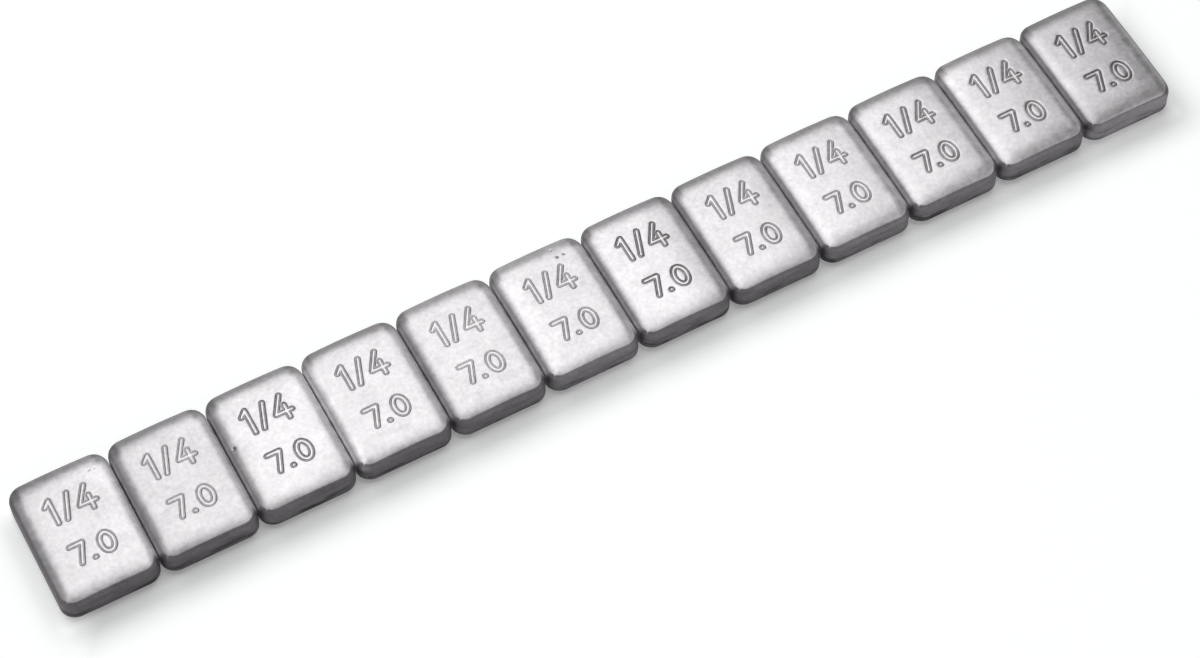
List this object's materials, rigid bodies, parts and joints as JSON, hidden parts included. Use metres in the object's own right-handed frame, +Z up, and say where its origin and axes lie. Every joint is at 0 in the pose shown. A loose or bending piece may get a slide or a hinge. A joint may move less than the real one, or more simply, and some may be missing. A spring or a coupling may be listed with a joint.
{
  "type": "wheel balance weight",
  "caption": "Stick-on wheel balance weight: a row of pillow-edged steel segments butted on foam tape with a release liner, cut to length and pressed inside a rim.",
  "frame": {"origin": "bottom centre: the middle of the liner's underside, on the surface that the strip lies on", "axes": "+X along the row of segments, in reading direction of their marks; +Y across the strip; +Z up, from the tape to the segments' tops"},
  "size_m": [0.1582, 0.0186, 0.005],
  "materials": {
    "plated_steel": "satin",
    "foam": "matte",
    "liner_paper": "matte"
  },
  "bodies": {
    "root": {"segment_01": "plated_steel", "segment_02": "plated_steel", "segment_03": "plated_steel", "segment_04": "plated_steel", "segment_05": "plated_steel", "segment_06": "plated_steel", "segment_07": "plated_steel", "segment_08": "plated_steel", "segment_09": "plated_steel", "segment_10": "plated_steel", "segment_11": "plated_steel", "segment_12": "plated_steel", "foam_tape": "foam", "release_liner": "liner_paper"}
  },
  "joints": []
}
